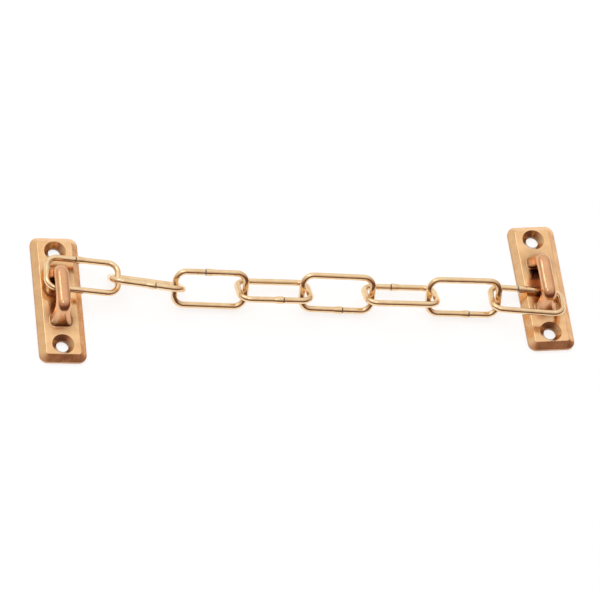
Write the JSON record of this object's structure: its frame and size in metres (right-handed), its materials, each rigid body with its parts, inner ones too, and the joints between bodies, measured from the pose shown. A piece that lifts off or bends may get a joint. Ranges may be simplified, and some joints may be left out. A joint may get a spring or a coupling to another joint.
{
  "type": "door chain",
  "caption": "Brass door chain: a run of seamed wire links held at each end in the staple of a bevelled plate with countersunk screw holes.",
  "frame": {"origin": "middle of the left plate's back face, between its two screw holes", "axes": "+Z out of the left plate's face, +Y along the left plate, +X towards the chain"},
  "size_m": [0.2177, 0.0667, 0.0146],
  "materials": {
    "cast_brass": "polished casting",
    "brass_wire": "bright drawn wire"
  },
  "bodies": {
    "left_plate": {"left_plate": "cast_brass"},
    "link_1": {"link_1": "brass_wire"},
    "link_2": {"link_2": "brass_wire"},
    "link_3": {"link_3": "brass_wire"},
    "link_4": {"link_4": "brass_wire"},
    "link_5": {"link_5": "brass_wire"},
    "link_6": {"link_6": "brass_wire"},
    "link_7": {"link_7": "brass_wire"},
    "link_8": {"link_8": "brass_wire"},
    "right_plate": {"right_plate": "cast_brass"}
  },
  "joints": [
    {"name": "first_link_swivel", "type": "hinge", "parent": "left_plate", "child": "link_1", "pos_m": [0, 0.00919, 0.00739], "axis": [0, 0, 1], "range_deg": [-30, 90]},
    {"name": "link_2_swing", "type": "hinge", "parent": "link_1", "child": "link_2", "pos_m": [0.02336, 0.00648, 0.00739], "axis": [-0.094, -0.9942, 0.0523], "range_deg": [-110, 120]},
    {"name": "link_3_swing", "type": "hinge", "parent": "link_2", "child": "link_3", "pos_m": [0.04884, 0.00312, 0.00739], "axis": [0.0767, 0.5828, -0.809], "range_deg": [-120, 120]},
    {"name": "link_4_swing", "type": "hinge", "parent": "link_3", "child": "link_4", "pos_m": [0.07453, 0.00272, 0.00739], "axis": [-0.0097, -0.6156, -0.788], "range_deg": [-120, 120]},
    {"name": "link_5_swing", "type": "hinge", "parent": "link_4", "child": "link_5", "pos_m": [0.10023, 0.00254, 0.00739], "axis": [-0.006, -0.866, 0.5], "range_deg": [-120, 120]},
    {"name": "link_6_swing", "type": "hinge", "parent": "link_5", "child": "link_6", "pos_m": [0.12593, 0.00191, 0.00739], "axis": [0.0157, 0.6426, 0.766], "range_deg": [-120, 120]},
    {"name": "link_7_swing", "type": "hinge", "parent": "link_6", "child": "link_7", "pos_m": [0.15162, 0.00173, 0.00739], "axis": [0.0059, 0.8387, -0.5446], "range_deg": [-120, 120]},
    {"name": "link_8_swing", "type": "hinge", "parent": "link_7", "child": "link_8", "pos_m": [0.17732, 0.00155, 0.00739], "axis": [-0.0045, -0.6428, -0.766], "range_deg": [-90, 120]},
    {"name": "right_plate_swivel", "type": "hinge", "parent": "link_8", "child": "right_plate", "pos_m": [0.19766, 0.00114, 0.00739], "axis": [0, 0, 1], "range_deg": [-90, 30]}
  ]
}
